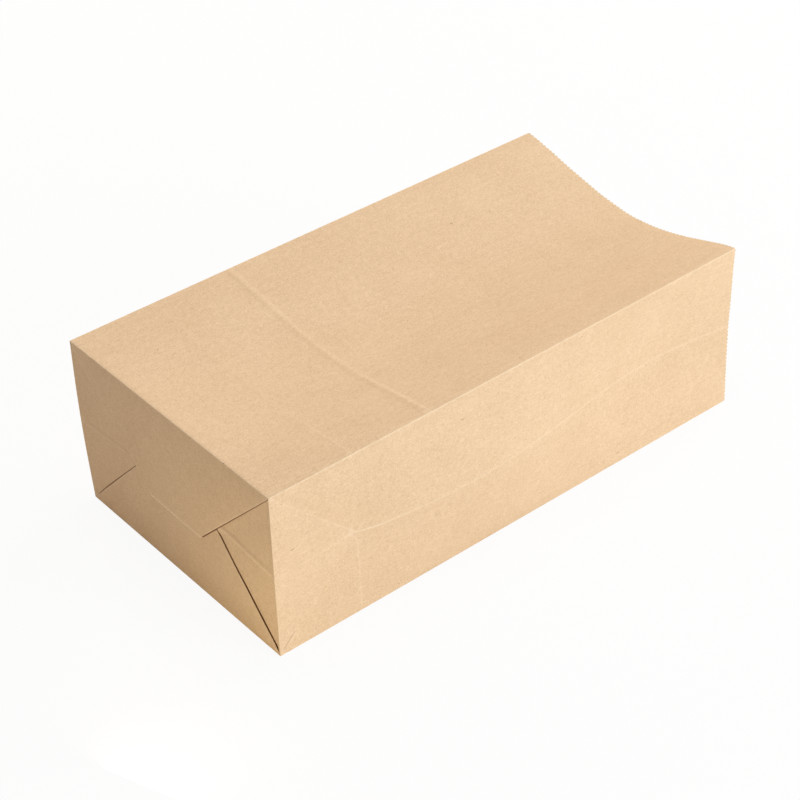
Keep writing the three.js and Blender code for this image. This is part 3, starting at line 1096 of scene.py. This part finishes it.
# %% Feel of the surface
BUMP_HEIGHT = 0.12 * MM
fibre_parts = [(fibres_along, 0.3), (fibres_aslant, 0.3)]
height = weigh([(mottle, 0.5), (grain, 0.5)] + fibre_parts + [(wrinkle, 1.6)])
bump = add("ShaderNodeBump", {"Strength": 0.35, "Distance": BUMP_HEIGHT, "Height": height})
tree.links.new(bump.outputs[0], shader.inputs["Normal"])
shader.inputs["Roughness"].default_value = 0.85
shader.inputs["Specular IOR Level"].default_value = 0.25
for piece in bag_pieces:
    piece.data.materials.clear()
    piece.data.materials.append(kraft)
print("kraft paper:", len(tree.nodes), "nodes")

# %% [markdown]
# ## Floor
#
# The floor is plain white. Nearly all that the camera sees of it is its own glow at strength 1, which
# gives an even white ground. The small rest is lit, so a soft shadow of the bag stays. All other rays
# meet a plain white floor, which throws light back up at the bag.

# %% The floor
FLOOR_HALF = 3.0
FLOOR_LEVEL = -0.05 * MM
FLOOR_WHITE = (0.88, 0.88, 0.88, 1)
GLOW_SHARE = 0.92

corners = ((-1, -1), (1, -1), (1, 1), (-1, 1))
floor_points = [(sx * FLOOR_HALF, sy * FLOOR_HALF, FLOOR_LEVEL) for sx, sy in corners]
floor_mesh = bpy.data.meshes.new("floor")
floor_mesh.from_pydata(floor_points, [], [(0, 1, 2, 3)])
floor = bpy.data.objects.new("floor", floor_mesh)
bpy.context.scene.collection.objects.link(floor)

white = bpy.data.materials.new("white_floor")
white.use_nodes = True
tree = white.node_tree
tree.nodes.clear()
lit = add("ShaderNodeBsdfDiffuse", {"Color": FLOOR_WHITE})
glow = add("ShaderNodeEmission", {"Color": (1, 1, 1, 1), "Strength": 1.0})
rays = add("ShaderNodeLightPath").outputs
seen = reckon("MAXIMUM", rays["Is Camera Ray"], rays["Is Glossy Ray"])
seen = reckon("MAXIMUM", seen, rays["Is Transmission Ray"])
share = reckon("MULTIPLY", seen, GLOW_SHARE)
both = add("ShaderNodeMixShader", {0: share, 1: lit.outputs[0], 2: glow.outputs[0]})
add("ShaderNodeOutputMaterial", {"Surface": both.outputs[0]})
floor_mesh.materials.append(white)
print(f"floor: {2 * FLOOR_HALF:.0f} m wide")

# %% [markdown]
# ## Light
#
# The bag was lit very softly: no face has a hard shadow, the side that faces the viewer is a little
# brighter than the top, and the block bottom is turned away from the lamps and takes a warm tint from
# the light that bounces around. Four large area lamps and a faint warm world do that. Small lamps would
# draw hard lines under every ply. One tiny lamp near the floor stands for light thrown up by the table,
# which warms the near lower corner of the block bottom.

# %% The lamps
BAG_MIDDLE = (0, 0, 0.04)
LARGE = 0.9  # diameter of a large lamp, in metres
TINY = 0.04


def add_lamp(name, place, aim, size, power, color):
    """A round lamp that faces the place it is aimed at."""
    data = bpy.data.lights.new(name, "AREA")
    data.shape = "DISK"
    data.size = size
    data.energy = power
    data.color = color
    lamp = bpy.data.objects.new(name, data)
    bpy.context.scene.collection.objects.link(lamp)
    lamp.location = place
    lamp.rotation_euler = (Vector(aim) - Vector(place)).to_track_quat("-Z", "Y").to_euler()
    print(f"lamp {name}: {power} W, {size} m across")


add_lamp("low_front", (0.45, -1.3, 0.5), BAG_MIDDLE, LARGE, 13.4, (0.94, 0.99, 1.03))
add_lamp("mouth_side", (1.2, 0.1, 0.7), BAG_MIDDLE, LARGE, 7.7, (0.92, 0.99, 1.0))
add_lamp("behind", (0.1, 1.3, 0.45), BAG_MIDDLE, LARGE, 8.9, (1.0, 0.85, 0.7))
add_lamp("overhead", (0.0, 0.0, 1.3), BAG_MIDDLE, LARGE, 4.4, (1.0, 0.96, 0.93))
add_lamp("floor_bounce", (-0.20, -0.085, 0.008), (-0.12, -0.055, 0.008), TINY, 0.0234, (1.0, 0.82, 0.4))

# %% [markdown]
# The world is what the bag sees beyond the lamps: a room with warm walls. The camera sees plain white
# instead, as it does on the floor.

# %% The world
ROOM_COLOUR = (1.0, 0.88, 0.8, 1)
ROOM_STRENGTH = 0.3

world = bpy.data.worlds.new("soft_room")
bpy.context.scene.world = world
world.use_nodes = True
tree = world.node_tree
tree.nodes.clear()
room = add("ShaderNodeBackground", {"Color": ROOM_COLOUR, "Strength": ROOM_STRENGTH})
plain = add("ShaderNodeBackground", {"Color": (1, 1, 1, 1), "Strength": 1.0})
rays = add("ShaderNodeLightPath").outputs
both = add(
    "ShaderNodeMixShader",
    {0: rays["Is Camera Ray"], 1: room.outputs[0], 2: plain.outputs[0]},
)
add("ShaderNodeOutputWorld", {"Surface": both.outputs[0]})
print("world:", world.name, "at strength", ROOM_STRENGTH)

# %% [markdown]
# ## Camera
#
# The camera stands at the corner of the block bottom and looks down along the bag, through a long lens
# from just under a metre. Its place comes from matching the bag's seven visible corners.

# %% The camera
AZIMUTH = math.radians(-39.12)
ELEVATION = math.radians(37.3)
ROLL = math.radians(-1.5)
DISTANCE = 909.1
LENS = 97.45  # millimetres, for a sensor 36 mm wide
SENSOR = 36
AIM_RIGHT = -6.24  # how far the camera aims beside the bag's middle
AIM_UP = -11.56

backward = Vector(
    (
        math.sin(AZIMUTH) * math.cos(ELEVATION),
        -math.cos(AZIMUTH) * math.cos(ELEVATION),
        math.sin(ELEVATION),
    )
)
level_right = (-backward).cross(Vector((0, 0, 1))).normalized()
level_up = level_right.cross(-backward)
right = math.cos(ROLL) * level_right + math.sin(ROLL) * level_up
up = math.cos(ROLL) * level_up - math.sin(ROLL) * level_right
centre = in_row(LENGTH / 2, 0, HALF_GUSSET)
eye = centre + (AIM_RIGHT * right + AIM_UP * up + DISTANCE * backward) * MM

camera_data = bpy.data.cameras.new("camera")
camera_data.lens = LENS
camera_data.sensor_width = SENSOR
camera_data.clip_start = 0.05
camera = bpy.data.objects.new("camera", camera_data)
bpy.context.scene.collection.objects.link(camera)
turn = Matrix((right, up, backward)).transposed().to_4x4()
camera.matrix_world = Matrix.Translation(eye) @ turn
bpy.context.scene.camera = camera
bpy.context.scene.view_settings.view_transform = "Standard"
print("camera at", [round(v, 4) for v in eye])
